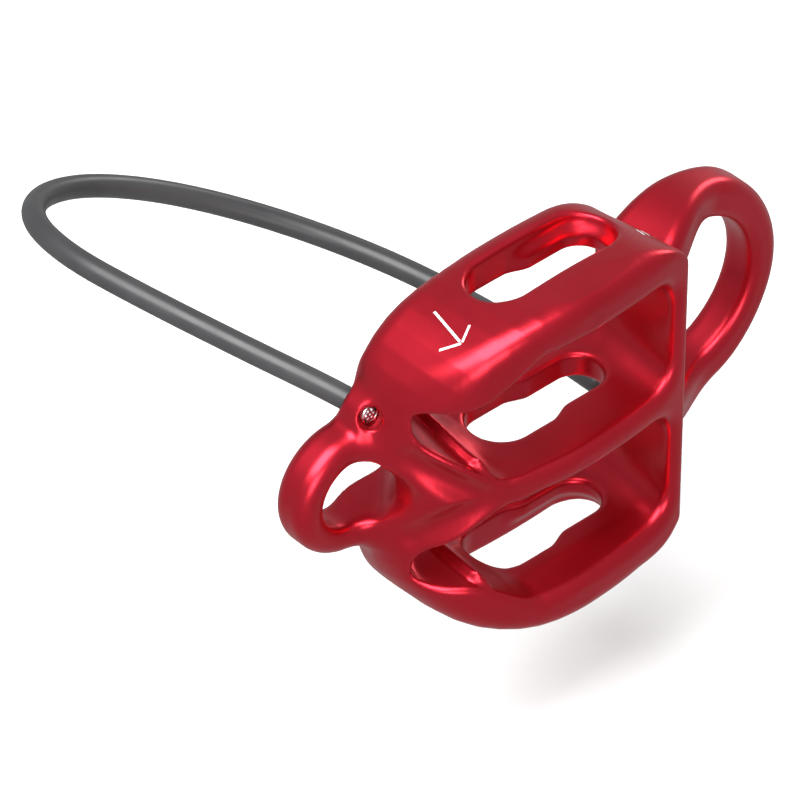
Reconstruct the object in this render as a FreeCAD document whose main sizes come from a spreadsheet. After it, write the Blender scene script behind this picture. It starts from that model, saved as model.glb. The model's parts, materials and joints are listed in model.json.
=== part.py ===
"""Guide-mode belay device: a forged aluminium body with two rope slots, a large anchor ring, a small
release ring, and a sheathed wire keeper loop whose two ends are held in bores by swaged ferrules.

Frame, in mm: origin at the centre of the body's box, +X from the release ring to the anchor ring,
+Y from the rope mouths to the keeper loop, +Z across the two rope slots. The body is a mirror image
of itself about Z = 0, and lies on its lower plate.
"""
import FreeCAD, Part
import math
import os

import Sketcher
from FreeCAD import Vector

# Driving dimensions, in mm unless the name says otherwise.
SIZES = {
    # forged body, before the rings
    "body_length": 87.0, "body_depth": 21.5, "body_width": 54.0,
    "wall_front": 12.1, "wall_corner": 8.6,
    "nose_back": 28.5, "nose_tip": 31.6, "nose_tip_depth": 4.5, "nose_face": 28.9, "nose_face_depth": 0.6,
    "nose_turn": 20.5, "nose_turn_depth": 8.0, "bulge_left": 4.0,
    "crown_left": 14.0, "crown_right": 5.0, "shoulder_nose": 10.5, "shoulder_wall": 22.5,
    # rope slots, seen along Y
    "rib_half": 2.05, "slot_outer": 20.2, "slot_wall": 10.2,
    "rib_flare": 19.0, "groove_end": 27.9, "groove_inner": 9.2, "groove_outer": 14.6,
    "plate_turn": 21.0, "plate_turn_height": 15.6, "plate_straight": 14.0,
    # windows through the three plates
    "window_left": 15.5, "window_right": 8.0, "window_front": 2.9, "window_back": 6.7,
    # rings, whose bores run along Y
    "ring_plane": 7.5,
    "anchor_centre": 26.0, "anchor_bore": 12.3, "anchor_width": 5.2,
    "release_centre": 34.0, "release_bore": 4.8, "release_tunnel": 5.2,
    "release_width": 4.7, "ring_land": 2.4,
    # keeper loop
    "sheath_outer": 3.3, "sheath_inner": 2.1, "wire": 2.0,
    "exit_nose": 30.5, "exit_wall": 14.6, "exit_height": 11.2,
    "boss_radius": 2.9, "boss_front": 5.2, "socket_depth": 2.0,
    "ferrule_outer": 3.0, "ferrule_length": 2.0, "ferrule_recess": 0.3, "cable_clearance": 0.1,
}
SIZES["zero"] = 0.0
WINDOW_RADIUS = (SIZES["window_front"] + SIZES["window_back"]) / 2
SIZES["window_right_centre"] = SIZES["window_right"] - WINDOW_RADIUS
SIZES["window_left_centre"] = SIZES["window_left"] - WINDOW_RADIUS
SIZES["anchor_land"] = SIZES["anchor_centre"] + SIZES["anchor_bore"]
SIZES["release_land"] = SIZES["release_centre"] + SIZES["release_bore"]
SIZES["land_front"] = SIZES["ring_plane"] - SIZES["ring_land"] / 2
SIZES["land_back"] = SIZES["ring_plane"] + SIZES["ring_land"] / 2
SIZES["boss_length"] = SIZES["body_depth"] / 2 - SIZES["boss_front"]
SIZES["boss_middle"] = (SIZES["body_depth"] / 2 + SIZES["boss_front"]) / 2

# The loop's route in its own plane: (distance from the nose exit towards the wall exit, Y).
ROUTE = [
    (0.0, 8.75), (0.0, 14.2), (-4.2, 24.4), (-11.8, 40.0), (-14.8, 51.2), (-12.6, 61.2), (-4.8, 68.0),
    (7.2, 70.8), (20.9, 67.8), (34.0, 58.8), (44.3, 45.2), (49.2, 29.8), (50.36, 18.0), (50.36, 8.75),
]

BACK = SIZES["body_depth"] / 2


def make_sheet(doc):
    """The spreadsheet of driving dimensions, one aliased cell each."""
    sheet = doc.addObject("Spreadsheet::Sheet", "sizes")
    for row, (name, value) in enumerate(SIZES.items(), start=1):
        sheet.set(f"A{row}", name)
        sheet.set(f"B{row}", str(value))
        sheet.setAlias(f"B{row}", name)
    doc.recompute()
    return sheet


def number(term):
    """The value of a term such as "rib_half", "-nose_tip" or "body_depth / 2"."""
    sign = -1.0 if term.startswith("-") else 1.0
    name, _, divisor = term.lstrip("-").partition(" / ")
    return sign * SIZES[name] / float(divisor or 1)


def expression(term):
    """The same term as a FreeCAD expression on the sheet."""
    sign = "-" if term.startswith("-") else ""
    return f"{sign}sizes.{term.lstrip('-')}"


def plane(body, role):
    """One of the body's own origin planes."""
    return next(p for p in body.Origin.OriginFeatures if p.Role == role)


def new_sketch(body, name, role):
    """An empty sketch lying on one of the body's origin planes."""
    sketch = body.newObject("Sketcher::SketchObject", name)
    sketch.AttachmentSupport = (plane(body, role), "")
    sketch.MapMode = "FlatFace"
    return sketch


def bind(sketch, constraint, value):
    """Add one constraint and drive it from the sheet."""
    index = sketch.addConstraint(constraint)
    sketch.setExpression(f"Constraints[{index}]", value)


def place_point(sketch, edge, end, corner):
    """Tie one end of an edge to a corner given as two terms."""
    for kind, term in zip(("DistanceX", "DistanceY"), corner):
        bind(sketch, Sketcher.Constraint(kind, -1, 1, edge, end, number(term)), expression(term))


def add_outline(sketch, corners, bulges=None):
    """A closed outline through the corners. bulges gives the arc height of the edge after a corner."""
    bulges = bulges or {}
    points = [Vector(number(x), number(y), 0) for x, y in corners]
    for k, start in enumerate(points):
        end = points[(k + 1) % len(points)]
        if k in bulges:
            along = end - start
            side = Vector(along.y, -along.x, 0).normalize() * bulges[k]
            arc = Part.Arc(start, (start + end) * 0.5 + side, end)
            edge = sketch.addGeometry(arc)
            head, tail = sketch.getPoint(edge, 1), sketch.getPoint(edge, 2)
            first = head.distanceToPoint(start) < tail.distanceToPoint(start)
            place_point(sketch, edge, 1 if first else 2, corners[k])
            place_point(sketch, edge, 2 if first else 1, corners[(k + 1) % len(points)])
            if abs(bulges[k]) < 0.49 * along.Length:  # the ends alone fix a half circle
                sketch.addConstraint(Sketcher.Constraint("Radius", edge, sketch.Geometry[edge].Radius))
        else:
            edge = sketch.addGeometry(Part.LineSegment(start, end))
            place_point(sketch, edge, 1, corners[k])
            place_point(sketch, edge, 2, corners[(k + 1) % len(points)])


def add_circle(sketch, centre, radius):
    """A circle whose centre is two terms and whose radius is one."""
    middle = Vector(number(centre[0]), number(centre[1]), 0)
    edge = sketch.addGeometry(Part.Circle(middle, Vector(0, 0, 1), number(radius)))
    place_point(sketch, edge, 3, centre)
    bind(sketch, Sketcher.Constraint("Radius", edge, number(radius)), expression(radius))


def pad(body, sketch, length):
    """A pad as long as the term, half to each side of its sketch."""
    feature = body.newObject("PartDesign::Pad", f"{sketch.Name}_pad")
    feature.Profile = sketch
    feature.SideType = "Symmetric"
    feature.setExpression("Length", expression(length))
    sketch.Document.recompute()
    return feature


def pocket_through(body, sketch):
    """A pocket through the whole body, to both sides of its sketch."""
    before = body.Shape.Volume
    feature = body.newObject("PartDesign::Pocket", f"{sketch.Name}_pocket")
    feature.Profile = sketch
    feature.SideType = "Symmetric"
    feature.setExpression("Length", "4 * sizes.body_width")
    sketch.Document.recompute()
    assert body.Shape.Volume < before - 1, f"{sketch.Name} cut nothing"
    return feature


def mirror_over_mid_plane(body, feature):
    """Repeat a feature on the other side of Z = 0."""
    mirror = body.newObject("PartDesign::Mirrored", f"{feature.Name}_mirror")
    mirror.Originals = [feature]
    mirror.MirrorPlane = (plane(body, "XY_Plane"), [""])
    body.Tip = mirror
    body.Document.recompute()
    return mirror


def forged_block(body):
    """The plan outline, seen along Z, as thick as the body is wide."""
    sketch = new_sketch(body, "plan", "XY_Plane")
    half = "body_depth / 2"
    corners = [
        ("wall_front", half), ("-nose_back", half), ("-nose_tip", "nose_tip_depth"),
        ("-nose_face", "-nose_face_depth"),
        ("-nose_turn", "-nose_turn_depth"), ("-bulge_left", f"-{half}"), ("wall_front", "-wall_corner"),
    ]
    add_outline(sketch, corners, bulges={3: 1.2, 4: 0.9, 5: 0.35})
    pad(body, sketch, "body_width")


def rounded_sides(body):
    """Cut the block to its side outline, seen along Y: crowned plates, round nose, short wall end."""
    sketch = new_sketch(body, "side", "XZ_Plane")
    half = "body_width / 2"
    for sign in ("", "-"):
        outer = [
            ("-body_length", f"{sign}shoulder_nose"), ("-nose_tip", f"{sign}shoulder_nose"),
            ("-crown_left", f"{sign}{half}"), ("crown_right", f"{sign}{half}"),
            ("wall_front", f"{sign}shoulder_wall"), ("body_length", f"{sign}shoulder_wall"),
            ("body_length", f"{sign}body_width"), ("-body_length", f"{sign}body_width"),
        ]
        turn = 1.0 if sign else -1.0
        add_outline(sketch, outer, bulges={1: 3.4 * turn, 3: 0.9 * turn})
    pocket_through(body, sketch)


def rope_slots(body):
    """Two wedge slots through the depth, narrowing to the grooves at the nose, with wider mouths."""
    slot = new_sketch(body, "slot", "XZ_Plane")
    add_outline(slot, [
        ("slot_wall", "rib_half"), ("-rib_flare", "rib_half"), ("-groove_end", "groove_inner"),
        ("-groove_end", "groove_outer"), ("-plate_turn", "plate_turn_height"),
        ("-plate_straight", "slot_outer"), ("slot_wall", "slot_outer"),
    ])
    mirror_over_mid_plane(body, pocket_through(body, slot))


def windows(body):
    """One long window through both outer plates and the rib."""
    sketch = new_sketch(body, "window", "XY_Plane")
    corners = [
        ("window_right_centre", "-window_front"), ("window_right_centre", "window_back"),
        ("-window_left_centre", "window_back"), ("-window_left_centre", "-window_front"),
    ]
    add_outline(sketch, corners, bulges={0: WINDOW_RADIUS, 2: WINDOW_RADIUS})
    pocket_through(body, sketch)


def ring(body, name, centre, land, bulge):
    """A ring turned about Y: a round section with a flat land inside, which is the finished bore."""
    sketch = new_sketch(body, name, "XY_Plane")
    add_outline(sketch, [(land, "land_front"), (land, "land_back")], bulges={1: bulge})
    axis = sketch.addGeometry(Part.LineSegment(
        Vector(number(centre), 0, 0), Vector(number(centre), number("ring_plane"), 0)), True)
    place_point(sketch, axis, 1, (centre, "zero"))
    place_point(sketch, axis, 2, (centre, "ring_plane"))
    feature = body.newObject("PartDesign::Revolution", f"{name}_turn")
    feature.Profile = sketch
    feature.ReferenceAxis = (sketch, ["Axis0"])
    feature.Angle = 360.0
    body.Document.recompute()


def nose_tunnel(body):
    """The release ring's hole goes on through the nose, a little wider than the ring's own bore."""
    sketch = new_sketch(body, "nose_tunnel", "XZ_Plane")
    add_circle(sketch, ("-release_centre", "zero"), "release_tunnel")
    pocket_through(body, sketch)


def cable_boss(body, name, centre):
    """A round boss along Y that carries one end of the keeper cable."""
    sketch = new_sketch(body, name, "XZ_Plane")
    sketch.setExpression(".AttachmentOffset.Base.z", "-sizes.boss_middle")
    add_circle(sketch, centre, "boss_radius")
    pad(body, sketch, "boss_length")


def make_forging(doc):
    """The forged body as one PartDesign body."""
    body = doc.addObject("PartDesign::Body", "forging")
    forged_block(body)
    rounded_sides(body)
    nose_tunnel(body)
    ring(body, "anchor", "anchor_centre", "anchor_land", -SIZES["anchor_width"])
    ring(body, "release", "-release_centre", "-release_land", SIZES["release_width"])
    cable_boss(body, "nose_boss", ("-exit_nose", "exit_height"))
    cable_boss(body, "wall_boss", ("exit_wall", "-exit_height"))
    rope_slots(body)
    windows(body)
    return body


def rod(doc, name, radius, length, exit_point, front):
    """A cylinder along +Y from Y = front, on the line of one cable exit. Its sizes are expressions."""
    cylinder = doc.addObject("Part::Cylinder", name)
    cylinder.setExpression("Radius", radius)
    cylinder.setExpression("Height", length)
    cylinder.Placement.Rotation = FreeCAD.Rotation(Vector(1, 0, 0), -90)
    for axis, term in zip("xyz", (exit_point[0], front, exit_point[1])):
        cylinder.setExpression(f".Placement.Base.{axis}", term)
    return cylinder


EXITS = {
    "nose": ("-sizes.exit_nose", "sizes.exit_height"),
    "wall": ("sizes.exit_wall", "-sizes.exit_height"),
}
FERRULE_FRONT = "(sizes.boss_front + sizes.ferrule_recess)"
WIRE_HOLE = "(sizes.wire / 2 + sizes.cable_clearance)"
SOCKET_RADIUS = "(sizes.sheath_outer / 2 + sizes.cable_clearance)"


def make_body(doc):
    """The forging with a stepped bore at each cable exit: sheath socket, wire bore, ferrule seat."""
    tools = []
    for name, exit_point in EXITS.items():
        tools += [
            rod(doc, f"{name}_socket", SOCKET_RADIUS, "2 * sizes.socket_depth",
                exit_point, "sizes.body_depth / 2 - sizes.socket_depth"),
            rod(doc, f"{name}_wire_bore", WIRE_HOLE, "sizes.body_depth",
                exit_point, "-sizes.body_depth / 2"),
            rod(doc, f"{name}_seat", "sizes.ferrule_outer / 2",
                "sizes.body_depth / 2 + sizes.boss_front + sizes.ferrule_recess + sizes.ferrule_length",
                exit_point, "-sizes.body_depth / 2"),
        ]
    bores = doc.addObject("Part::MultiFuse", "cable_bores")
    bores.Shapes = tools
    body = doc.addObject("Part::Cut", "body")
    body.Base = make_forging(doc)
    body.Tool = bores
    body.Label = "body"
    doc.recompute()
    return body


def make_ferrule(doc, name):
    """A swaged sleeve on the end of the wire, seated in the front of its bore."""
    exit_point = EXITS[name]
    length = "sizes.ferrule_length"
    sleeve = rod(doc, f"{name}_sleeve", "sizes.ferrule_outer / 2", length, exit_point, FERRULE_FRONT)
    hole = rod(doc, f"{name}_hole", WIRE_HOLE, length, exit_point, FERRULE_FRONT)
    ferrule = doc.addObject("Part::Cut", f"ferrule_{name}")
    ferrule.Base, ferrule.Tool = sleeve, hole
    ferrule.Label = f"ferrule_{name}"
    return ferrule


def route_points():
    """The loop's route in the model's frame."""
    nose = Vector(-SIZES["exit_nose"], 0, SIZES["exit_height"])
    wall = Vector(SIZES["exit_wall"], 0, -SIZES["exit_height"])
    across = (wall - nose).normalize()
    points = [nose + across * along + Vector(0, depth, 0) for along, depth in ROUTE]
    points[-1] = wall + Vector(0, ROUTE[-1][1], 0)
    return points


def rounded_wire(points):
    """Straight runs joined by tangent arcs, each as large as its two runs allow."""
    edges, start, radii = [], points[0], []
    for before, corner, after in zip(points, points[1:], points[2:]):
        incoming, outgoing = corner - before, after - corner
        shorter = min(incoming.Length, outgoing.Length)
        turn = incoming.getAngle(outgoing)
        radii.append(0.45 * shorter / math.tan(turn / 2))
        inward, outward = Vector(incoming).normalize(), Vector(outgoing).normalize()
        arc_start, arc_end = corner - inward * 0.45 * shorter, corner + outward * 0.45 * shorter
        middle = (arc_start + arc_end) * 0.5
        to_centre = Vector(outward - inward).normalize()
        centre = middle + to_centre * radii[-1] * math.cos(turn / 2)
        edges.append(Part.LineSegment(start, arc_start).toShape())
        edges.append(Part.Arc(arc_start, centre - to_centre * radii[-1], arc_end).toShape())
        start = arc_end
    edges.append(Part.LineSegment(start, points[-1]).toShape())
    print("cable bend radii, mm:", [round(r, 1) for r in radii])
    return Part.Wire(edges)


def tube(points, outer, inner=0.0):
    """A round section swept along the route, with a coaxial hole if inner is given."""
    wire = rounded_wire(points)
    heading = (points[1] - points[0]).normalize()
    rings = [Part.Wire(Part.makeCircle(d / 2, points[0], heading)) for d in (outer, inner) if d]
    solids = [wire.makePipeShell([ring_wire], True, False) for ring_wire in rings]
    shape = solids[0] if len(solids) == 1 else solids[0].cut(solids[1])
    section = math.pi * (outer ** 2 - inner ** 2) / 4
    print("volume over section times length:", round(shape.Volume / (section * wire.Length), 4),
          "length:", round(wire.Length, 1))
    return shape


def make_swept(doc, name, shape):
    """A document object for a swept piece."""
    piece = doc.addObject("Part::Feature", name)
    piece.Label = name
    piece.Shape = shape
    return piece


def keeper_pieces(doc):
    """The sheath as one tube, and the wire through it that runs on into both ferrules."""
    points = route_points()
    socket_floor = BACK - SIZES["socket_depth"]
    ferrule_front = SIZES["boss_front"] + SIZES["ferrule_recess"]
    sheath_points, wire_points = list(points), list(points)
    for end in (0, -1):
        sheath_points[end] = Vector(points[end].x, socket_floor, points[end].z)
        wire_points[end] = Vector(points[end].x, ferrule_front, points[end].z)
    return [
        make_swept(doc, "cable_sheath", tube(sheath_points, SIZES["sheath_outer"], SIZES["sheath_inner"])),
        make_swept(doc, "wire_rope", tube(wire_points, SIZES["wire"])),
    ]


def check_document(doc):
    """Stop on any feature that failed to compute."""
    for item in doc.Objects:
        assert not {"Invalid", "Error"} & set(item.State), f"{item.Name}: {item.State}"


def export(pieces):
    """Write each piece to parts/LABEL.step."""
    os.makedirs("parts", exist_ok=True)
    for piece in pieces:
        shape = piece.Shape
        assert not shape.isNull() and shape.isValid(), piece.Label
        assert len(shape.Solids) == 1, f"{piece.Label} has {len(shape.Solids)} solids"
        box = shape.BoundBox
        low, high = (box.XMin, box.YMin, box.ZMin), (box.XMax, box.YMax, box.ZMax)
        print(piece.Label, [round(v, 2) for v in low], [round(v, 2) for v in high],
              "volume", round(shape.Volume, 1))
        shape.exportStep(f"parts/{piece.Label}.step")


def main():
    doc = FreeCAD.newDocument("belay_device")
    make_sheet(doc)
    pieces = [make_body(doc), make_ferrule(doc, "nose"), make_ferrule(doc, "wall"), *keeper_pieces(doc)]
    doc.recompute()
    check_document(doc)
    export(pieces)


main()
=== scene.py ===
"""Looks of the guide-mode belay device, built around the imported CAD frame.

The forged body is modelled as one smooth signed distance field, in millimetres, with one function per
feature, and meshed by surface nets. The keeper cable follows the CAD route.
"""
import json
import math

import bpy
import numpy as np
from mathutils import Matrix, Vector


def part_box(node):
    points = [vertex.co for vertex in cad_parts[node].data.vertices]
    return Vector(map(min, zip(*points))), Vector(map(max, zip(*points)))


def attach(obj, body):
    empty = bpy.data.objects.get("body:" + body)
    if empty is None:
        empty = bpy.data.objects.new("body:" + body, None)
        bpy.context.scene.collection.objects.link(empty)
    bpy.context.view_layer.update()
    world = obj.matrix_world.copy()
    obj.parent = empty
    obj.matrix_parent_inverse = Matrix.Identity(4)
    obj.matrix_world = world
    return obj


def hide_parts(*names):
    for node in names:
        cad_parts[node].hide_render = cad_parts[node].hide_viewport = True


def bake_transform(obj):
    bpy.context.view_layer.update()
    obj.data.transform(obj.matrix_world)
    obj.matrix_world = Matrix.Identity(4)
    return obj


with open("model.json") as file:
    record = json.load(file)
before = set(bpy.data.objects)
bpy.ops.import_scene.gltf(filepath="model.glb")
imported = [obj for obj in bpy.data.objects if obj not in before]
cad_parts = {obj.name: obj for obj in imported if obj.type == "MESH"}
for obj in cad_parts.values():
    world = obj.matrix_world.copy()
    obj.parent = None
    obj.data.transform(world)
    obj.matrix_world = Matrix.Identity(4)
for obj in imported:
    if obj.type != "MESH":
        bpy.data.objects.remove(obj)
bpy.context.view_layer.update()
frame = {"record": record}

MM = 0.001

# ---------------------------------------------------------------- dimensions in mm, from the frame
body_low, body_high = (np.array(corner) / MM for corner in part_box("body"))
mounts = {m["name"]: m for m in frame["record"]["mounts"]}
anchor, release = mounts["anchor_ring"], mounts["release_ring"]
ANCHOR_X, RING_Y = anchor["pos_m"][0] / MM, anchor["pos_m"][1] / MM
RELEASE_X = release["pos_m"][0] / MM
ANCHOR_BORE, RELEASE_BORE = anchor["dims"]["r_mm"], release["dims"]["r_mm"]
hinge = frame["record"]["behaviour"]["joints"][0]
NOSE_EXIT = np.array(hinge["pos_m"]) / MM
BACK, FRONT, HALF_WIDTH = body_high[1], body_low[1], body_high[2]
ferrule_low, ferrule_high = (np.array(corner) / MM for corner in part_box("ferrule_nose"))
SLEEVE_FRONT, SLEEVE_BACK = ferrule_low[1], ferrule_high[1]

# ---------------------------------------------------------------- dimensions in mm, of the details
# Keeper cable: outer diameters, the lay of the wire's strands, and where it bends, from the back face.
SHEATH, WIRE, FERRULE, LAY_LENGTH = 3.3, 2.0, 3.0, 14.0
WALL_EXIT = np.array([14.6, BACK, -NOSE_EXIT[2]])
# Cable ends: the bosses, the sockets' floor in Y, and how far forward each ferrule's seat is open.
BOSS_RADIUS, BOSS_FRONT, SOCKET_FLOOR = 2.35, 5.4, 7.6
BOSS_BACK = {"nose": 9.2, "wall": 7.9}
SEAT_MOUTH = {"nose": 5.0, "wall": FRONT}
DIMPLE_CENTRE, DIMPLE_RADIUS = (-31.4, 4.6, 11.7), 1.65
# End wall: where its front edge stands in X, its face in the slots, and its back edge in Y.
WALL_FRONT, WALL_FACE, WALL_BACK = 12.1, 10.3, 6.4
# Slots: half the rib, the outer plates' inner faces and the friction ridges.
RIB_HALF, PLATE_UNDER = 2.05, 20.2
RIDGE_PITCH, RIDGE_HEIGHT = 4.6, 1.45
# Windows: the centres of their two rounded ends, and their radius.
WINDOW_LEFT, WINDOW_RIGHT, WINDOW_Y, WINDOW_RADIUS = -10.7, 3.2, 1.9, 4.8
FINE_GRID, COARSE_GRID = 0.34, 0.8
MARK_WIDTH, MARK_LIFT = 0.34, 0.04
FLOOR_GAP = 25.0

# ---------------------------------------------------------------- camera, at the product shot's angle
AZIMUTH, ELEVATION = math.radians(-42.0), math.radians(40.0)
CAMERA_DISTANCE, VIEW_WIDTH = 0.9, 0.1067
CAMERA_AIM, AIM_LEFT, AIM_DOWN = Vector((0.0005, 0.00125, 0)), 0.0221, 0.0008


def make_camera():
    """A long lens from the front and the release ring's side, above the device."""
    right = Vector((math.cos(AZIMUTH), math.sin(AZIMUTH), 0))
    level = Vector((-math.sin(AZIMUTH), math.cos(AZIMUTH), 0))
    ahead = level * math.cos(ELEVATION) - Vector((0, 0, math.sin(ELEVATION)))
    up = right.cross(ahead)
    target = CAMERA_AIM - right * AIM_LEFT - up * AIM_DOWN
    data = bpy.data.cameras.new("camera")
    data.sensor_width = 36.0
    data.lens = data.sensor_width * CAMERA_DISTANCE / VIEW_WIDTH
    data.clip_start, data.clip_end = 0.01, 20.0
    camera = bpy.data.objects.new("camera", data)
    axes = Matrix((right, up, -ahead)).transposed()
    camera.matrix_world = Matrix.Translation(target - ahead * CAMERA_DISTANCE) @ axes.to_4x4()
    bpy.context.collection.objects.link(camera)
    bpy.context.scene.camera = camera


# ---------------------------------------------------------------- meshes and materials
def mesh_object(name, points, faces, material):
    """A smooth-shaded mesh object from points in mm."""
    mesh = bpy.data.meshes.new(name)
    points = (np.asarray(points, float) * MM).tolist()
    mesh.from_pydata(points, [], [list(map(int, face)) for face in faces])
    mesh.update()
    mesh.shade_smooth()
    mesh.materials.append(material)
    piece = bpy.data.objects.new(name, mesh)
    bpy.context.collection.objects.link(piece)
    return piece


def new_material(name, **values):
    """A Principled material whose constant values sit on the shader's own sockets."""
    material = bpy.data.materials.new(name)
    material.use_nodes = True
    shader = material.node_tree.nodes["Principled BSDF"]
    for socket, value in values.items():
        shader.inputs[socket.replace("_", " ")].default_value = value
    return material, material.node_tree, shader


def object_noise(tree, scale, detail=3.0):
    """Noise in the object's own coordinates."""
    coordinates = tree.nodes.new("ShaderNodeTexCoord")
    noise = tree.nodes.new("ShaderNodeTexNoise")
    noise.inputs["Scale"].default_value = scale
    noise.inputs["Detail"].default_value = detail
    tree.links.new(coordinates.outputs["Object"], noise.inputs["Vector"])
    return noise


def vary(tree, noise, low, high, target):
    """Drive a value socket between low and high by the noise."""
    spread = tree.nodes.new("ShaderNodeMapRange")
    for socket, value in (("From Min", 0.3), ("From Max", 0.7), ("To Min", low), ("To Max", high)):
        spread.inputs[socket].default_value = value
    tree.links.new(noise.outputs["Fac"], spread.inputs["Value"])
    tree.links.new(spread.outputs["Result"], target)


def mix_colours(tree, noise, first, second, target):
    """Drive a colour socket between two colours by the noise."""
    ramp = tree.nodes.new("ShaderNodeValToRGB")
    for element, position, colour in zip(ramp.color_ramp.elements, (0.3, 0.7), (first, second)):
        element.position, element.color = position, (*colour, 1)
    tree.links.new(noise.outputs["Fac"], ramp.inputs["Fac"])
    tree.links.new(ramp.outputs["Color"], target)


def add_bump(tree, shader, noise, strength, distance):
    """Fine relief from the noise."""
    bump = tree.nodes.new("ShaderNodeBump")
    bump.inputs["Strength"].default_value = strength
    bump.inputs["Distance"].default_value = distance
    tree.links.new(noise.outputs["Fac"], bump.inputs["Height"])
    tree.links.new(bump.outputs["Normal"], shader.inputs["Normal"])


def anodised_material():
    """Satin red anodising over a fine blasted surface."""
    material, tree, shader = new_material("red_anodised", Metallic=0.92, IOR=1.5, Coat_Weight=0.22,
                                          Coat_Roughness=0.25)
    mix_colours(tree, object_noise(tree, 60.0), (0.54, 0.012, 0.028), (0.60, 0.015, 0.034),
                shader.inputs["Base Color"])
    vary(tree, object_noise(tree, 140.0), 0.30, 0.36, shader.inputs["Roughness"])
    add_bump(tree, shader, object_noise(tree, 5200.0, 2.0), 0.10, 0.00004)
    return material


def sheath_material():
    """Extruded grey plastic with a faint grain."""
    material, tree, shader = new_material("grey_sheath", IOR=1.48, Coat_Weight=0.1, Coat_Roughness=0.3)
    mix_colours(tree, object_noise(tree, 90.0), (0.030, 0.030, 0.032), (0.043, 0.043, 0.045),
                shader.inputs["Base Color"])
    vary(tree, object_noise(tree, 300.0), 0.34, 0.44, shader.inputs["Roughness"])
    add_bump(tree, shader, object_noise(tree, 2600.0, 2.0), 0.08, 0.00004)
    return material


def steel_material(name, colour, rough):
    """Drawn or turned steel with a fine grain."""
    material, tree, shader = new_material(name, Metallic=1.0)
    darker = tuple(0.82 * c for c in colour)
    mix_colours(tree, object_noise(tree, 700.0), darker, colour, shader.inputs["Base Color"])
    vary(tree, object_noise(tree, 900.0), rough, rough + 0.12, shader.inputs["Roughness"])
    add_bump(tree, shader, object_noise(tree, 6000.0, 2.0), 0.12, 0.00003)
    return material


def mark_material():
    """Pale laser marking."""
    material, tree, shader = new_material("pale_marking", IOR=1.45)
    mix_colours(tree, object_noise(tree, 900.0), (0.70, 0.66, 0.66), (0.86, 0.83, 0.83),
                shader.inputs["Base Color"])
    vary(tree, object_noise(tree, 400.0), 0.55, 0.7, shader.inputs["Roughness"])
    return material


# ---------------------------------------------------------------- keeper cable
# Distance from the nose exit towards the wall exit, and Y, in mm: the CAD route, with its second and
# third points moved a little so that the cable leaves the nose without a kink.
ROUTE = [
    (0.0, 8.75), (-0.7, 12.0), (-6.0, 24.4), (-11.8, 40.0), (-14.8, 51.2), (-12.6, 61.2), (-4.8, 68.0),
    (7.2, 70.8), (20.9, 67.8), (34.0, 58.8), (44.3, 45.2), (49.2, 29.8), (50.36, 18.0), (50.36, 8.75),
]


def route_points():
    """The route in the frame, in mm."""
    nose, wall = NOSE_EXIT * (1, 0, 1), WALL_EXIT * (1, 0, 1)
    across = (wall - nose) / np.linalg.norm(wall - nose)
    return [nose + across * along + np.array([0, depth, 0]) for along, depth in ROUTE]


def smooth_line(points, resolution):
    """Points along the NURBS spline whose control points are the route."""
    curve = bpy.data.curves.new("route_line", "CURVE")
    curve.dimensions = "3D"
    spline = curve.splines.new("NURBS")
    spline.points.add(len(points) - 1)
    for control, point in zip(spline.points, points):
        control.co = (*point, 1.0)
    spline.order_u = 3
    spline.use_endpoint_u = True
    curve.resolution_u = resolution
    holder = bpy.data.objects.new("route_line", curve)
    bpy.context.collection.objects.link(holder)
    mesh = bpy.data.meshes.new_from_object(holder)
    line = np.array([v.co[:] for v in mesh.vertices])
    bpy.data.objects.remove(holder)
    return line


def frames_along(line):
    """Two unit normals at each point, carried along without twist."""
    heading = np.gradient(line, axis=0)
    heading /= np.linalg.norm(heading, axis=1)[:, None]
    side = np.cross(heading[0], (0.0, 0.0, 1.0))
    sides = []
    for direction in heading:
        side = side - direction * (side @ direction)
        side = side / np.linalg.norm(side)
        sides.append(side)
    sides = np.array(sides)
    return sides, np.cross(heading, sides)


def round_directions(side, other, around):
    """Unit vectors evenly round the line, at each of its points."""
    angles = np.linspace(0, 2 * math.pi, around, endpoint=False)[None, :, None]
    return np.cos(angles) * side[:, None] + np.sin(angles) * other[:, None]


def tube_faces(rings, around, start=0):
    """The quads of a tube whose vertices begin at start, then its two end caps."""
    quads = [
        (start + i * around + j, start + i * around + (j + 1) % around,
         start + (i + 1) * around + (j + 1) % around, start + (i + 1) * around + j)
        for i in range(rings - 1) for j in range(around)
    ]
    last = start + (rings - 1) * around
    first_cap = tuple(start + j for j in reversed(range(around)))
    return quads + [first_cap, tuple(range(last, last + around))]


def tube_mesh(name, line, radius, around, material):
    """A closed round tube with slightly narrower ends."""
    radii = np.full(len(line), radius)
    radii[[0, -1]] *= 0.93
    outward = round_directions(*frames_along(line), around)
    points = (line[:, None] + outward * radii[:, None, None]).reshape(-1, 3)
    return mesh_object(name, points, tube_faces(len(line), around), material)


def make_cable():
    """The sheath and the stranded wire that runs on from it into both ferrules."""
    line = smooth_line(route_points(), 14)
    line[[0, -1], 1] = SOCKET_FLOOR
    sheath = tube_mesh("keeper_sheath", line, SHEATH / 2, 32, sheath_material())
    wire_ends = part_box("wire_rope")[0][1] / MM
    first, last = (line[end] * (1, 0, 1) + (0, wire_ends, 0) for end in (0, -1))
    wire = wire_strands(np.vstack([[first], line, [last]]))
    for piece, node, slot in ((sheath, "cable_sheath", "sheath"), (wire, "wire_rope", "wire")):
        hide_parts(node)
        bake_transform(piece)


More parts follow.
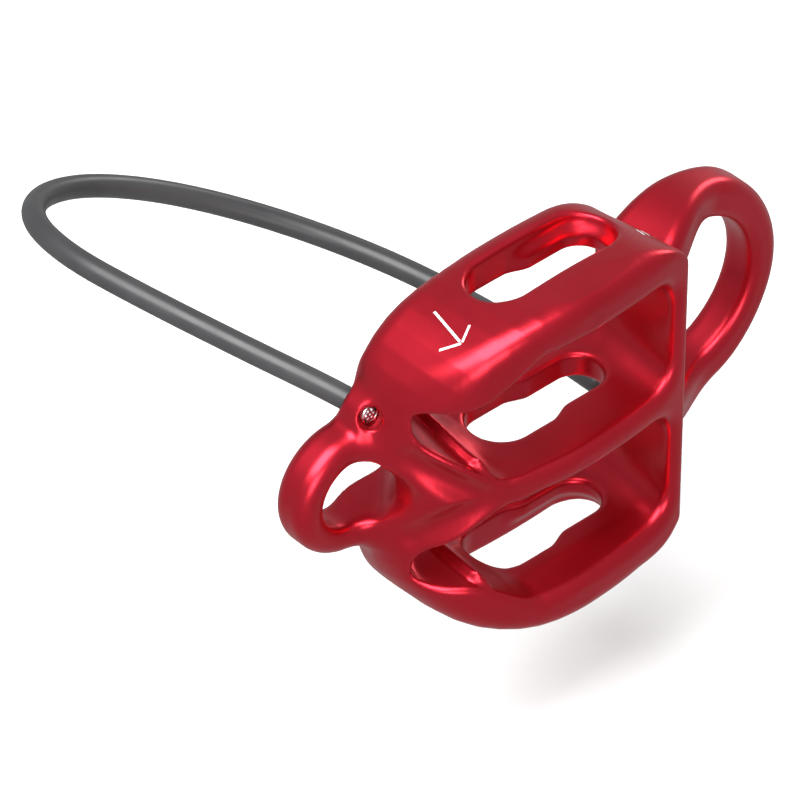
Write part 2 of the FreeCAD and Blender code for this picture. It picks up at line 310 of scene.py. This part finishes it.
def wire_strands(line):
    """Six strands laid round a core strand, as one mesh."""
    strand, around = WIRE / 6, 10
    side, other = frames_along(line)
    outward = round_directions(side, other, around)
    travelled = np.concatenate([[0], np.cumsum(np.linalg.norm(np.diff(line, axis=0), axis=1))])
    points, faces = [], []
    for k in range(7):
        turn = (travelled / LAY_LENGTH * 2 * math.pi + k * math.pi / 3)[:, None]
        away = 0.0 if k == 6 else 2 * strand * 0.98
        centre = line + away * (np.cos(turn) * side + np.sin(turn) * other)
        points.append((centre[:, None] + outward * strand).reshape(-1, 3))
        faces += tube_faces(len(line), around, start=k * len(line) * around)
    material = steel_material("cable_wire", (0.6, 0.61, 0.63), 0.3)
    return mesh_object("keeper_wire", np.vstack(points), faces, material)


# ---------------------------------------------------------------- distance field tools
def smooth_max(a, b, k):
    """The larger of two distances, with the crossing rounded over k."""
    blend = np.maximum(k - np.abs(a - b), 0) / k
    return np.maximum(a, b) + blend * blend * k / 4


def smooth_min(a, b, k):
    """The smaller of two distances, with the crossing filled over k."""
    return -smooth_max(-a, -b, k)


def ease(value, start, end):
    """From 0 at start to 1 at end, level at both."""
    t = np.clip((value - start) / (end - start), 0, 1)
    return t * t * (3 - 2 * t)


def bulged(start, end, height, steps=10):
    """Points from start up to but not at end, on an arc standing height to the right of the chord."""
    start, end = np.array(start, float), np.array(end, float)
    if not height:
        return [start]
    along = end - start
    chord = np.linalg.norm(along)
    right = np.array([along[1], -along[0]]) / chord
    radius = (chord ** 2 / 4 + height ** 2) / (2 * height)
    centre = (start + end) / 2 + right * (height - radius)
    first = np.arctan2(*(start - centre)[::-1])
    sweep = 2 * math.asin(min(1.0, chord / (2 * abs(radius)))) * math.copysign(1, height)
    turns = first + sweep * np.linspace(0, 1, steps, endpoint=False)
    return [centre + abs(radius) * np.array([math.cos(turn), math.sin(turn)]) for turn in turns]


def outline(corners):
    """A closed outline from (x, y, bulge of the edge that follows)."""
    points = []
    for k, (x, y, height) in enumerate(corners):
        points += bulged((x, y), corners[(k + 1) % len(corners)][:2], height)
    return np.array(points)


def outline_distance(points, x, y):
    """Signed distance to a closed outline, negative inside."""
    x, y = np.broadcast_arrays(x, y)
    nearest = np.full(x.shape, np.inf)
    inside = np.zeros(x.shape, bool)
    for (ax, ay), (bx, by) in zip(points, np.roll(points, -1, axis=0)):
        ex, ey = bx - ax, by - ay
        t = np.clip(((x - ax) * ex + (y - ay) * ey) / (ex * ex + ey * ey), 0, 1)
        nearest = np.minimum(nearest, (x - ax - t * ex) ** 2 + (y - ay - t * ey) ** 2)
        crosses = (ay > y) != (by > y)
        if ey:
            inside ^= crosses & (x < ax + (y - ay) * ex / ey)
    return np.sqrt(nearest) * np.where(inside, -1, 1)


# ---------------------------------------------------------------- the forged body, feature by feature
PLAN = outline([
    (14.0, BACK, 0), (-28.6, BACK, 0.7), (-31.9, 4.6, 0.4), (-29.6, -0.6, 1.2), (-20.8, -8.2, 0.9),
    (-4.0, FRONT, 0.35), (WALL_FRONT + 0.6, -8.9, 0),
])
SIDE = outline([
    (14.6, -30.0, 0), (14.6, 21.5, 1.2), (5.0, HALF_WIDTH + 0.3, 0.3), (-11.0, HALF_WIDTH + 0.3, 4.4),
    (-32.6, 10.0, 0), (-32.6, -30.0, 0),
])


def forged_block(x, y, z):
    """The block with its plan and side outlines, a little narrower at the back, edges rounded."""
    taper = 0.11 * (y - FRONT) * ease(x, -27.0, -12.0)
    side = outline_distance(SIDE, x, np.abs(z)) + taper
    plan = outline_distance(PLAN, x, y)
    softness = 3.4 - 2.2 * ease(x, 4.0, 11.0) * ease(-y, -6.0, 4.0)
    return smooth_max(side, plan, softness)


def ring(x, y, z, centre, bore, middle, radial, deep, corner):
    """A round ring about Y of rounded square section, whose inside is the bore."""
    across = np.abs(np.sqrt((x - centre) ** 2 + z ** 2) - bore - radial) - (radial - corner)
    along = np.abs(y - middle) - (deep - corner)
    outside = np.sqrt(np.maximum(across, 0) ** 2 + np.maximum(along, 0) ** 2)
    return outside + np.minimum(np.maximum(across, along), 0) - corner


def anchor_ring(x, y, z):
    """The big ring: slim at its far side, deepening towards its two roots on the end wall."""
    toward_end = 0.5 + 0.5 * (x - ANCHOR_X) / np.sqrt((x - ANCHOR_X) ** 2 + z ** 2 + 1e-6)
    near = 1 - ease(toward_end, 0.18, 0.68)
    radial = 2.6 + 0.35 * near + 0.4 * ease(-toward_end, -1.0, -0.7) * ease(toward_end, 0.2, 0.5)
    return ring(x, y, z, ANCHOR_X, ANCHOR_BORE, RING_Y - 2.8 * near, radial, 3.2 + 2.8 * near, 2.0)


def release_ring(x, y, z):
    """The small ring at the nose."""
    return ring(x, y, z, RELEASE_X, RELEASE_BORE, RING_Y, 2.35, 3.2, 2.2)


def cable_boss(x, y, z, exit_point, back):
    """The round boss that carries one end of the cable."""
    middle, half_length = (back + BOSS_FRONT) / 2, (back - BOSS_FRONT) / 2
    from_axis = np.sqrt((x - exit_point[0]) ** 2 + (z - exit_point[2]) ** 2) - BOSS_RADIUS
    return smooth_max(from_axis, np.abs(y - middle) - half_length, 1.0)


def ridges(x, y):
    """Friction ridges along Y in both walls of the groove, fading out towards the mouth."""
    mouth = -8.2 + 0.86 * np.maximum(-x - 20.8, 0)
    place = (-x - 0.9) / RIDGE_PITCH
    from_crest = np.abs(place - np.floor(place) - 0.5) * 2
    profile = RIDGE_HEIGHT * ease(1.45 * from_crest, 1.0, 0.0)
    in_groove = ease(-x, 18.4, 19.6) * ease(x, -24.4, -23.4)
    return profile * in_groove * ease(y - mouth, 0.4, 1.8)


def rope_slot(x, y, z):
    """Both wedge slots: level floors by the windows, closing to a groove at the nose, mouths flared."""
    height = np.abs(z)
    mouth = ease(-y, 4.5, -FRONT)
    tail = ease(y, 7.5, BACK)
    flare = 0.8 * mouth + 0.6 * tail
    closing = ease(y, -6.0, 6.0) * ease(-x, 15.5, 19.5)
    rib_top = RIB_HALF + 6.4 * ease(-x, 18.0, 29.0) + 1.9 * closing
    plate_under = PLATE_UNDER - 5.2 * ease(-x, 13.0, 24.0) + flare - 0.8 * closing
    floor = (rib_top - height) / np.where(x < -18.5, 1.35, 1.0)
    ceiling = (height - plate_under) / np.where((x < -13.0) & (x > -24.0), 1.15, 1.0)
    nose_end = -28.8 + 3.2 * ease(y, -1.0, 7.0)
    wall_face = WALL_FACE + 0.10 * (y - FRONT)
    ends = smooth_max(x - wall_face, nose_end - x, 1.0)
    fillet = 2.2 + 3.4 * ease(x, 0.0, 6.0)
    return smooth_max(smooth_max(floor, ceiling, 1.6) + ridges(x, y), ends, fillet)


def wall_relief(x, y, z):
    """What is cut from the end wall's back, between the middle rib and each outer plate."""
    across = np.maximum(9.0 - x, x - 13.9)
    height = smooth_max(RIB_HALF - np.abs(z), np.abs(z) - 17.0, 3.0)
    return smooth_max(smooth_max(across, WALL_BACK - y, 1.5), height, 3.0)


def nose_valley(x, y, z):
    """A shallow valley under each groove's lip, from the small ring's root down the nose's front."""
    start, end, radius = np.array([-30.2, -2.2, 6.6]), np.array([-23.2, -8.6, 0.4]), 1.7
    along = end - start
    offset = [x - start[0], y - start[1], np.abs(z) - start[2]]
    t = np.clip(sum(part * step for part, step in zip(offset, along)) / (along @ along), 0, 1)
    return np.sqrt(sum((part - t * step) ** 2 for part, step in zip(offset, along))) - radius


def window(x, y, z):
    """The long window through all three plates, narrower beyond its middle on the slots' side."""
    narrow = ease(x, -6.0, -2.0) * ease(24.5 - np.abs(z), 0.0, 2.5)
    off = np.maximum(np.maximum(WINDOW_LEFT - x, x - WINDOW_RIGHT), 0)
    return np.sqrt(off ** 2 + (y - WINDOW_Y) ** 2) - WINDOW_RADIUS + 1.2 * narrow


def bore(x, y, z, centre_x, centre_z, radius):
    """An endless round bore along Y; the last term only gives it the grid's full shape."""
    return np.sqrt((x - centre_x) ** 2 + (z - centre_z) ** 2) - radius + 0 * y


def nose_hollow(x, y, z):
    """Behind the nose's front face the small ring's hole opens out sideways into the nose."""
    reach = np.clip(0.95 * (y - 2.2), 0, 7.6)
    off = np.maximum(np.maximum(RELEASE_X - x, x - RELEASE_X - reach), 0)
    return np.sqrt(off ** 2 + z ** 2) - RELEASE_BORE + 0.1


def cable_bores(x, y, z):
    """Both stepped bores: sheath socket at the back, ferrule seat at the front, wire hole between."""
    cut = np.full(np.broadcast(x, y, z).shape, 10.0)
    for name, exit_point in (("nose", NOSE_EXIT), ("wall", WALL_EXIT)):
        centre, mouth = (exit_point[0], exit_point[2]), SEAT_MOUTH[name]
        flare = 0.4 * ease(y, BOSS_BACK[name] - 1.4, BOSS_BACK[name])
        socket = np.maximum(bore(x, y, z, *centre, SHEATH / 2 + 0.06) - flare, SOCKET_FLOOR - y)
        seat_ends = np.maximum(y - SLEEVE_BACK, mouth - y)
        seat = np.maximum(bore(x, y, z, *centre, FERRULE / 2), seat_ends)
        through = np.maximum(bore(x, y, z, *centre, WIRE / 2 + 0.1), mouth - y)
        cut = np.minimum(cut, np.minimum(np.minimum(socket, seat), through))
    at_x, at_y, at_z = DIMPLE_CENTRE
    dimple = np.sqrt((x - at_x) ** 2 + (y - at_y) ** 2 + (z - at_z) ** 2) - DIMPLE_RADIUS
    return np.minimum(cut, dimple)


def body_field(x, y, z):
    """The whole forging."""
    solid = forged_block(x, y, z)
    solid = smooth_max(smooth_min(solid, anchor_ring(x, y, z), 6.0), y - BACK, 0.5)
    solid = smooth_min(solid, release_ring(x, y, z), 4.5)
    solid = smooth_min(solid, cable_boss(x, y, z, NOSE_EXIT, BOSS_BACK["nose"]), 2.0)
    solid = smooth_max(solid, -nose_valley(x, y, z), 2.0)
    solid = smooth_max(solid, -rope_slot(x, y, z), 2.0 - 0.9 * ease(-x, 13.0, 18.0))
    solid = smooth_max(solid, -wall_relief(x, y, z), 1.2)
    solid = smooth_min(solid, cable_boss(x, y, z, WALL_EXIT, BOSS_BACK["wall"]), 1.2)
    solid = smooth_max(solid, -window(x, y, z), 0.9)
    solid = smooth_max(solid, -bore(x, y, z, ANCHOR_X, 0, ANCHOR_BORE), 0.8)
    solid = smooth_max(solid, -bore(x, y, z, RELEASE_X, 0, RELEASE_BORE), 0.8)
    solid = smooth_max(solid, -nose_hollow(x, y, z), 1.2)
    return smooth_max(solid, -cable_bores(x, y, z), 0.25)


# ---------------------------------------------------------------- surface nets
CORNERS = [(i, j, k) for i in (0, 1) for j in (0, 1) for k in (0, 1)]
EDGES = [(a, b) for a in CORNERS for b in CORNERS
         if a < b and sum(abs(p - q) for p, q in zip(a, b)) == 1]


def surface_nets(field, low, high, step):
    """Quads on the field's zero level: one vertex in each grid cell that the surface crosses."""
    axes = [np.arange(low[i], high[i] + step, step) for i in range(3)]
    values = field(axes[0][:, None, None], axes[1][None, :, None], axes[2][None, None, :])
    shape = np.array(values.shape) - 1

    def corner(offset):
        i, j, k = offset
        return values[i:i + shape[0], j:j + shape[1], k:k + shape[2]]

    total = np.zeros((*shape, 3), np.float32)
    count = np.zeros(shape, np.float32)
    for a, b in EDGES:
        va, vb = corner(a), corner(b)
        crossed = (va < 0) != (vb < 0)
        t = np.where(crossed, va / np.where(crossed, va - vb, 1), 0)
        for axis in range(3):
            total[..., axis] += np.where(crossed, a[axis] + t * (b[axis] - a[axis]), 0)
        count += crossed
    used = count > 0
    index = np.full(shape, -1)
    index[used] = np.arange(used.sum())
    cells = np.argwhere(used)
    points = np.array(low) + step * (cells + total[used] / count[used][:, None])
    return points, np.vstack([quads_across(values, index, axis) for axis in range(3)])


def quads_across(values, index, axis):
    """The quads round every grid edge along one axis that the surface crosses."""
    size = values.shape
    near, far = [slice(1, n - 1) for n in size], [slice(1, n - 1) for n in size]
    near[axis], far[axis] = slice(0, size[axis] - 1), slice(1, size[axis])
    inside_near, inside_far = values[tuple(near)] < 0, values[tuple(far)] < 0
    u, v = [a for a in range(3) if a != axis]
    faces = []
    for mask, flip in ((inside_near & ~inside_far, axis == 1), (~inside_near & inside_far, axis != 1)):
        at = np.argwhere(mask)
        at[:, u] += 1
        at[:, v] += 1
        ring_cells = []
        for du, dv in ((0, 0), (1, 0), (1, 1), (0, 1)):
            cell = at.copy()
            cell[:, u] -= du
            cell[:, v] -= dv
            ring_cells.append(index[tuple(cell.T)])
        quad = np.stack(ring_cells, axis=1)
        faces.append(quad[:, ::-1] if flip else quad)
    return np.vstack(faces)


def pull_to_surface(field, points, rounds=4, reach=0.02):
    """Move points onto the zero level along the field's slope."""
    for _ in range(rounds):
        x, y, z = points.T
        value = field(x, y, z)
        slope = np.stack([
            (field(x + reach, y, z) - field(x - reach, y, z)) / (2 * reach),
            (field(x, y + reach, z) - field(x, y - reach, z)) / (2 * reach),
            (field(x, y, z + reach) - field(x, y, z - reach)) / (2 * reach),
        ], axis=1)
        size = np.maximum((slope ** 2).sum(axis=1), 0.05)
        move = -(value / size)[:, None] * slope
        points = points + np.clip(move, -0.3, 0.3)
    return points


def make_body():
    """The forged body, meshed at the fine grid."""
    step = FINE_GRID
    margin = 3 * step
    low, high = body_low - margin, body_high + margin
    points, quads = surface_nets(body_field, low, high, step)
    points = pull_to_surface(body_field, points)
    points = np.clip(points, body_low, body_high)
    body = mesh_object("forged_body", points, quads, anodised_material())
    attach(body, "device")
    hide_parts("body")


# ---------------------------------------------------------------- generic marks on the upper plate
def top_height(x, y):
    """Height of the body's upper surface over each point: a coarse search, then halving."""
    bottom, rise = 15.0, 0.25
    low = np.full(x.shape, bottom)
    for level in np.arange(bottom, HALF_WIDTH + 1.0, rise):
        low = np.where(body_field(x, y, np.full(x.shape, level)) < 0, level, low)
    high = low + rise
    for _ in range(12):
        middle = (low + high) / 2
        inside = body_field(x, y, middle) < 0
        low, high = np.where(inside, middle, low), np.where(inside, high, middle)
    return low


def stroke(points, width):
    """A flat strip laid on the upper surface along points."""
    line = np.array(points, float)
    heading = np.gradient(line, axis=0)
    heading /= np.linalg.norm(heading, axis=1)[:, None]
    aside = np.stack([-heading[:, 1], heading[:, 0]], axis=1) * width / 2
    edges = np.stack([line + aside, line - aside], axis=1).reshape(-1, 2)
    height = top_height(edges[:, 0], edges[:, 1]) + MARK_LIFT
    faces = [(2 * i, 2 * i + 1, 2 * i + 3, 2 * i + 2) for i in range(len(line) - 1)]
    return np.column_stack([edges, height]), faces


def straight(start, end, steps=10):
    """Evenly spaced points from start to end."""
    start, end = np.array(start), np.array(end)
    return [start + (end - start) * t for t in np.linspace(0, 1, steps)]


def make_marks():
    """A plain arrow on the nose and three ticks by the anchor ring."""
    arrow = [
        straight((-20.6, 4.2), (-22.0, -2.2)), straight((-24.1, -0.6), (-22.1, -2.6)),
        straight((-19.6, -1.5), (-21.9, -2.6)),
    ]
    ticks = [straight((10.0 + 0.9 * k, -3.2), (10.4 + 0.9 * k, -1.2), 6) for k in range(3)]
    points, faces = [], []
    for line in arrow + ticks:
        strip, quads = stroke(line, MARK_WIDTH)
        start = sum(len(p) for p in points)
        points.append(strip)
        faces += [tuple(start + i for i in quad) for quad in quads]
    marks = mesh_object("surface_marks", np.vstack(points), faces, mark_material())
    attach(marks, "device")


# ---------------------------------------------------------------- ferrules
def lathe(name, profile, centre, material, around=40):
    """A closed solid of revolution about Y from (radius, y) points."""
    angles = np.linspace(0, 2 * math.pi, around, endpoint=False)
    points = [(centre[0] + radius * math.cos(angle), y, centre[2] + radius * math.sin(angle))
              for radius, y in profile for angle in angles]
    rings = len(profile)
    faces = [
        (i * around + j, ((i + 1) % rings) * around + j,
         ((i + 1) % rings) * around + (j + 1) % around, i * around + (j + 1) % around)
        for i in range(rings) for j in range(around)
    ]
    return mesh_object(name, points, faces, material)


def make_ferrules():
    """Swaged sleeves with a bright chamfer, seated in the front of both bores."""
    material = steel_material("ferrule_steel", (0.78, 0.78, 0.80), 0.18)
    outer, inner, chamfer = FERRULE / 2, WIRE / 2 + 0.05, 0.22
    profile = [
        (inner, SLEEVE_FRONT + chamfer), (inner + 0.08, SLEEVE_FRONT + 0.02),
        (outer - chamfer, SLEEVE_FRONT), (outer - 0.05, SLEEVE_FRONT + 0.1),
        (outer - 0.01, SLEEVE_FRONT + chamfer), (outer - 0.01, SLEEVE_BACK), (inner, SLEEVE_BACK),
    ]
    for node, exit_point in (("ferrule_nose", NOSE_EXIT), ("ferrule_wall", WALL_EXIT)):
        piece = lathe(f"{node}_sleeve", profile, exit_point, material)
        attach(piece, "device")
        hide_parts(node)


# ---------------------------------------------------------------- stage
def make_floor():
    """A plain pale floor well below the lower plate, left out of reflections."""
    size, level = 3.0, (body_low[2] - FLOOR_GAP) * MM
    corners = [(x * size, y * size, level) for x, y in ((-1, -1), (1, -1), (1, 1), (-1, 1))]
    mesh = bpy.data.meshes.new("floor")
    mesh.from_pydata(corners, [], [(0, 1, 2, 3)])
    material, tree, shader = new_material("pale_floor", Roughness=0.9)
    mix_colours(tree, object_noise(tree, 3.0), (0.86, 0.86, 0.86), (0.88, 0.88, 0.88),
                shader.inputs["Base Color"])
    mesh.materials.append(material)
    floor = bpy.data.objects.new("floor", mesh)
    bpy.context.collection.objects.link(floor)
    floor.visible_glossy = False


def area_light(name, place, aim, size, power):
    """A square soft light at place, looking at aim."""
    data = bpy.data.lights.new(name, "AREA")
    data.size, data.energy = size, power
    light = bpy.data.objects.new(name, data)
    light.location = place
    light.rotation_euler = (Vector(aim) - Vector(place)).to_track_quat("-Z", "Y").to_euler()
    bpy.context.collection.objects.link(light)


def light_scene():
    """A white room with one large softbox above, and smaller side and rim lights."""
    world = bpy.data.worlds.new("studio")
    bpy.context.scene.world = world
    world.use_nodes = True
    background = world.node_tree.nodes["Background"]
    background.inputs["Color"].default_value = (1, 1, 1, 1)
    background.inputs["Strength"].default_value = 0.41
    area_light("key", (-0.42, -0.10, 0.80), (0, 0, 0), 0.80, 17.5)
    area_light("side", (-0.60, -0.75, 0.25), (0, 0, 0), 0.45, 3.5)
    area_light("rim", (0.80, 0.20, 0.35), (0, 0, 0), 0.30, 1.5)


make_camera()
make_cable()
make_body()
make_marks()
make_ferrules()
make_floor()
light_scene()
bpy.context.scene.view_settings.view_transform = "Standard"
